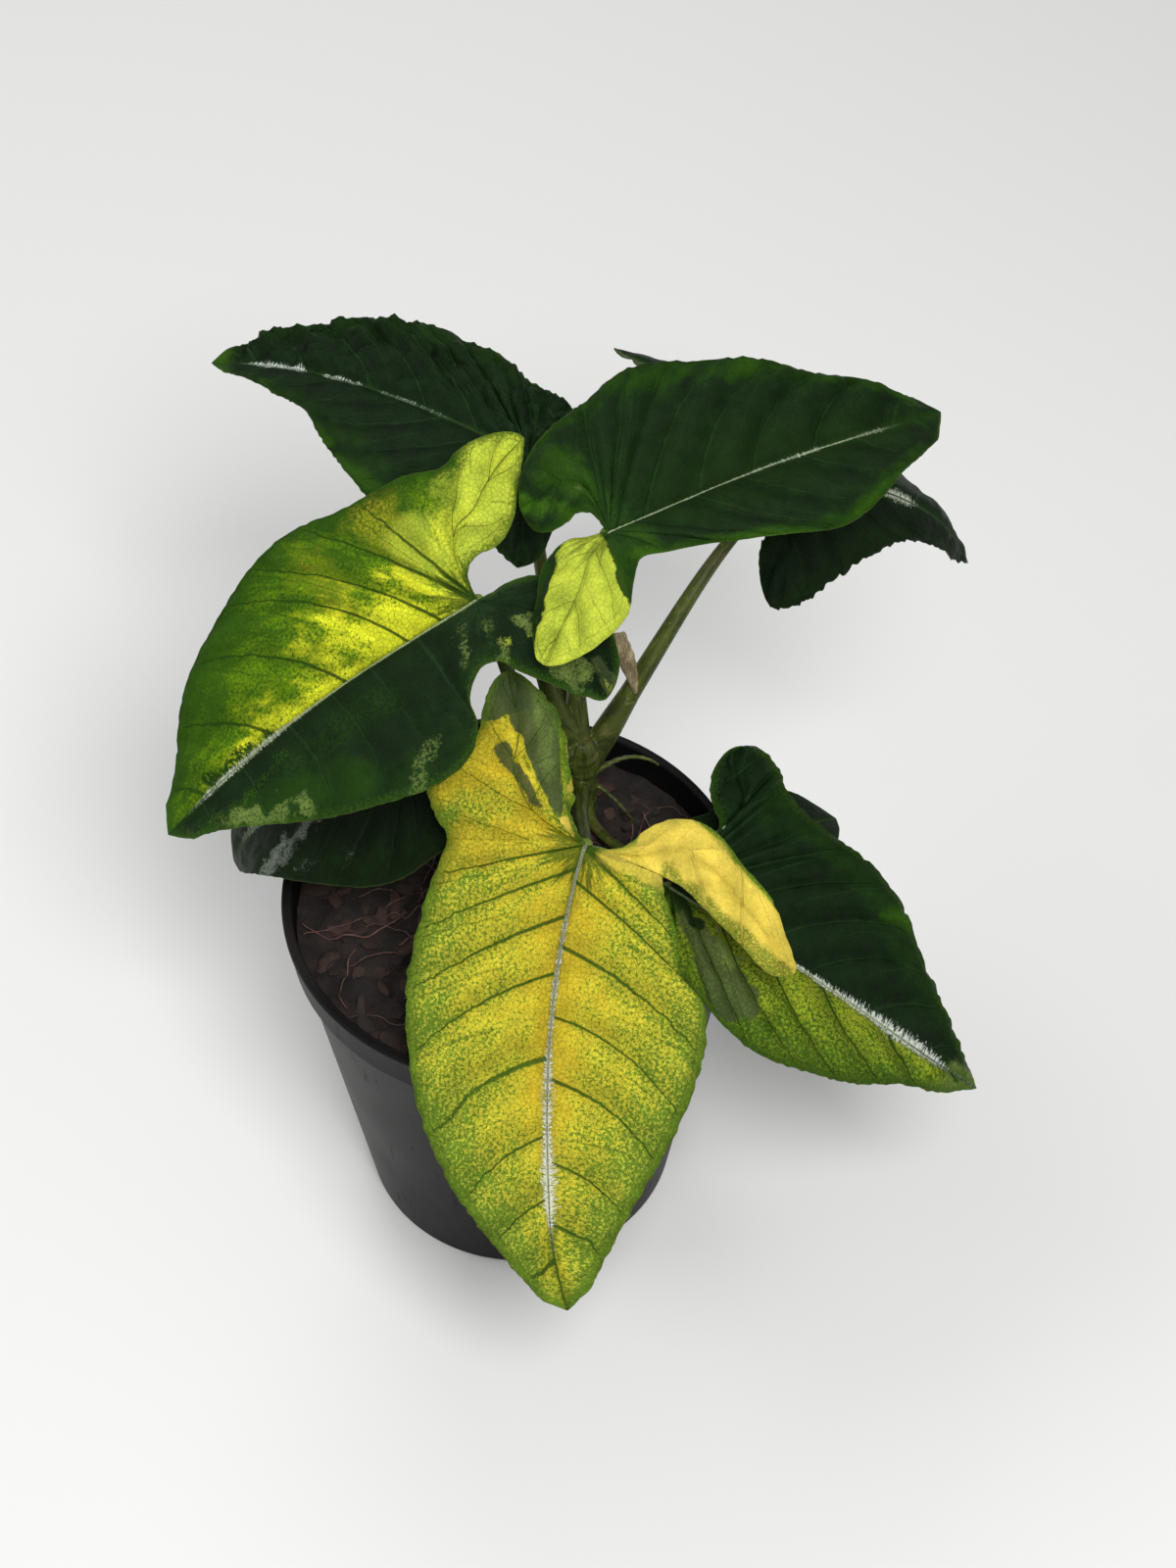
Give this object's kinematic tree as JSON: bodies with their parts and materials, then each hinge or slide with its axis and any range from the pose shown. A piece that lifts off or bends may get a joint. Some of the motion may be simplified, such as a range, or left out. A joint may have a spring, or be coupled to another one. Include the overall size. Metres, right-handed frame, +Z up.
{
  "type": "arrowhead plant",
  "caption": "Potted arrowhead plant: marbled yellow and green arrow-shaped leaves on arching petioles above a round black nursery pot of bark soil.",
  "frame": {"origin": "centre of the pot's underside", "axes": "+Z up, the plant's front towards -Y, where the yellow leaf hangs over the pot, and +X to its right"},
  "size_m": [0.2576, 0.316, 0.2724],
  "materials": {
    "pot": "black moulded plastic, satin",
    "soil": "damp bark and fibre",
    "stem": "green, smooth and slightly waxy",
    "dry_sheath": "dry and papery",
    "petiole": "green, smooth and slightly waxy",
    "leaf_front": "soft satin leaf, golden yellow with green speckles",
    "leaf_left": "soft satin leaf, half lime yellow and half dark green",
    "leaf_upper_right": "soft satin leaf, dark green with a white midrib",
    "leaf_upper_left": "soft satin leaf, dark green with a white midrib",
    "leaf_right": "soft satin leaf, dark green and speckled yellow-green halves",
    "leaf_far_right": "soft satin leaf, dark green",
    "leaf_lower_left": "soft satin leaf, dark green with pale flecks",
    "leaf_low_right": "soft satin leaf, dark green",
    "leaf_back": "soft satin leaf, dark green"
  },
  "bodies": {
    "root": {"pot": "pot", "soil": "soil", "stem": "stem", "dry_sheath": "dry_sheath", "petiole_front": "petiole", "petiole_left": "petiole", "petiole_upper_right": "petiole", "petiole_upper_left": "petiole", "petiole_right": "petiole", "petiole_far_right": "petiole", "petiole_lower_left": "petiole", "petiole_low_right": "petiole", "petiole_back": "petiole", "leaf_front": "leaf_front", "leaf_left": "leaf_left", "leaf_upper_right": "leaf_upper_right", "leaf_upper_left": "leaf_upper_left", "leaf_right": "leaf_right", "leaf_far_right": "leaf_far_right", "leaf_lower_left": "leaf_lower_left", "leaf_low_right": "leaf_low_right", "leaf_back": "leaf_back"}
  },
  "joints": []
}
